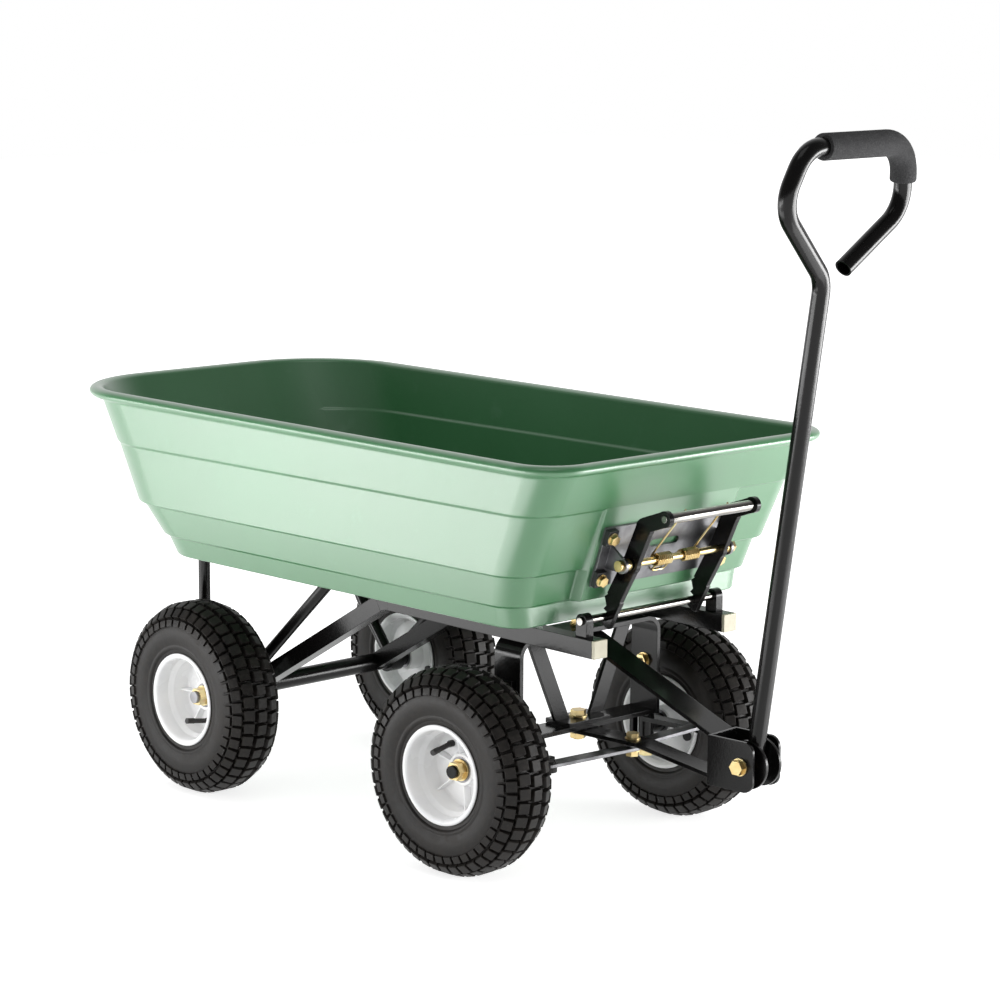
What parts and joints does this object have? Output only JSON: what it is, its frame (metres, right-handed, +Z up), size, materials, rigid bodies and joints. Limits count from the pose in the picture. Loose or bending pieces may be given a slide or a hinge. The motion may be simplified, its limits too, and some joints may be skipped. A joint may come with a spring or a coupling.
{
  "type": "tipping dump cart",
  "caption": "Garden dump cart: a stepped moulded tub that unlatches and tips back about its rear axle, on a frame with steered front wheels and a folding pull handle.",
  "frame": {"origin": "on the ground, under the middle of the whole cart's box", "axes": "+X forward towards the handle, +Y to the left, +Z up"},
  "size_m": [1.1961, 0.508, 0.916],
  "materials": {
    "tub_plastic": "satin moulded polyethylene",
    "black_paint": "black powder coat",
    "yellow_zinc": "yellow zinc plate",
    "grey_steel": "plain zinc plate",
    "beige_plastic": "moulded plug",
    "black_plastic": "moulded",
    "foam": "closed-cell foam sleeve",
    "tyre_rubber": "moulded rubber",
    "valve_rubber": "moulded rubber",
    "white_rim": "white gloss paint"
  },
  "bodies": {
    "chassis": {"rail_left": "black_paint", "rail_right": "black_paint", "rail_plug_left": "beige_plastic", "rail_plug_right": "beige_plastic", "rear_axle_tube": "black_paint", "rear_axle_rod": "grey_steel", "rear_wheel_nuts": "yellow_zinc", "striker_rod": "grey_steel", "striker_brackets": "black_paint", "front_arch": "black_paint", "axle_beam": "black_paint", "pivot_plate": "black_paint", "brace_left": "black_paint", "brace_right": "black_paint", "kingpin_lugs": "black_paint", "kingpins": "yellow_zinc", "lug_bolts": "yellow_zinc", "steering_bolts": "yellow_zinc"},
    "tub": {"tub": "tub_plastic", "tub_support_left": "black_paint", "tub_support_right": "black_paint", "tub_bolts": "yellow_zinc", "latch_base": "grey_steel", "latch_pads": "black_plastic", "latch_rod": "yellow_zinc", "latch_bolts": "yellow_zinc", "latch_spring": "yellow_zinc"},
    "latch_lever": {"latch_arm_left": "black_paint", "latch_arm_right": "black_paint", "latch_pull_bar": "black_paint"},
    "tongue": {"tongue_lower_bar": "black_paint", "tongue_upper_bar": "black_paint", "tongue_yoke": "black_paint", "tie_rod_bolt": "yellow_zinc", "yoke_bolt": "yellow_zinc"},
    "handle": {"handle_tube": "black_paint", "handle_foot": "black_paint", "handle_grip": "foam"},
    "knuckle_left": {"knuckle_left": "black_paint", "front_wheel_nut_left": "yellow_zinc"},
    "knuckle_right": {"knuckle_right": "black_paint", "front_wheel_nut_right": "yellow_zinc"},
    "tie_rod_left": {"tie_rod_left": "black_paint"},
    "tie_rod_right": {"tie_rod_right": "black_paint"},
    "wheel_front_left": {"tyre_front_left": "tyre_rubber", "rim_front_left": "white_rim", "bearings_front_left": "grey_steel", "valve_front_left": "valve_rubber"},
    "wheel_front_right": {"tyre_front_right": "tyre_rubber", "rim_front_right": "white_rim", "bearings_front_right": "grey_steel", "valve_front_right": "valve_rubber"},
    "wheel_rear_left": {"tyre_rear_left": "tyre_rubber", "rim_rear_left": "white_rim", "bearings_rear_left": "grey_steel", "valve_rear_left": "valve_rubber"},
    "wheel_rear_right": {"tyre_rear_right": "tyre_rubber", "rim_rear_right": "white_rim", "bearings_rear_right": "grey_steel", "valve_rear_right": "valve_rubber"}
  },
  "joints": [
    {"name": "tub_tip", "type": "hinge", "parent": "chassis", "child": "tub", "pos_m": [-0.32399, 0, 0.13], "axis": [0, -1, 0], "range_deg": [0, 65]},
    {"name": "latch", "type": "hinge", "parent": "tub", "child": "latch_lever", "pos_m": [0.35822, 0, 0.396], "axis": [0, -1, 0], "range_deg": [0, 12], "stiffness_Nm_per_rad": 1.2, "springref_deg": -22.92, "deforming": ["latch_spring"]},
    {"name": "steer", "type": "hinge", "parent": "chassis", "child": "tongue", "pos_m": [0.19401, 0, 0.15], "axis": [0, 0, 1], "range_deg": [-29.5, 20.5]},
    {"name": "handle_pitch", "type": "hinge", "parent": "tongue", "child": "handle", "pos_m": [0.47314, 0.02197, 0.157], "axis": [-0.0785, 0.9969, 0], "range_deg": [-12, 82]},
    {"name": "knuckle_left_turn", "type": "hinge", "parent": "chassis", "child": "knuckle_left", "pos_m": [0.18401, 0.135, 0.13], "axis": [0, 0, 1], "range_deg": [-29.5, 20.5]},
    {"name": "knuckle_right_turn", "type": "hinge", "parent": "chassis", "child": "knuckle_right", "pos_m": [0.18401, -0.135, 0.13], "axis": [0, 0, 1], "range_deg": [-29.5, 20.5]},
    {"name": "tie_rod_left_turn", "type": "hinge", "parent": "tongue", "child": "tie_rod_left", "pos_m": [0.28373, 0.00706, 0.1456], "axis": [0, 0, 1], "range_deg": [-20.5, 29.5]},
    {"name": "tie_rod_right_turn", "type": "hinge", "parent": "tongue", "child": "tie_rod_right", "pos_m": [0.28373, 0.00706, 0.1412], "axis": [0, 0, 1], "range_deg": [-20.5, 29.5]},
    {"name": "wheel_front_left_spin", "type": "hinge", "parent": "knuckle_left", "child": "wheel_front_left", "pos_m": [0.17906, 0.19781, 0.13], "axis": [-0.0785, 0.9969, 0], "continuous": true},
    {"name": "wheel_front_right_spin", "type": "hinge", "parent": "knuckle_right", "child": "wheel_front_right", "pos_m": [0.18895, -0.19781, 0.13], "axis": [-0.0785, 0.9969, 0], "continuous": true},
    {"name": "wheel_rear_left_spin", "type": "hinge", "parent": "chassis", "child": "wheel_rear_left", "pos_m": [-0.32399, 0.198, 0.13], "axis": [0, 1, 0], "continuous": true},
    {"name": "wheel_rear_right_spin", "type": "hinge", "parent": "chassis", "child": "wheel_rear_right", "pos_m": [-0.32399, -0.198, 0.13], "axis": [0, 1, 0], "continuous": true}
  ],
  "couplings": [
    {"joint": "knuckle_left_turn", "follows": "steer", "ratio": 1},
    {"joint": "knuckle_right_turn", "follows": "steer", "ratio": 1},
    {"joint": "tie_rod_left_turn", "follows": "steer", "ratio": -1},
    {"joint": "tie_rod_right_turn", "follows": "steer", "ratio": -1}
  ]
}
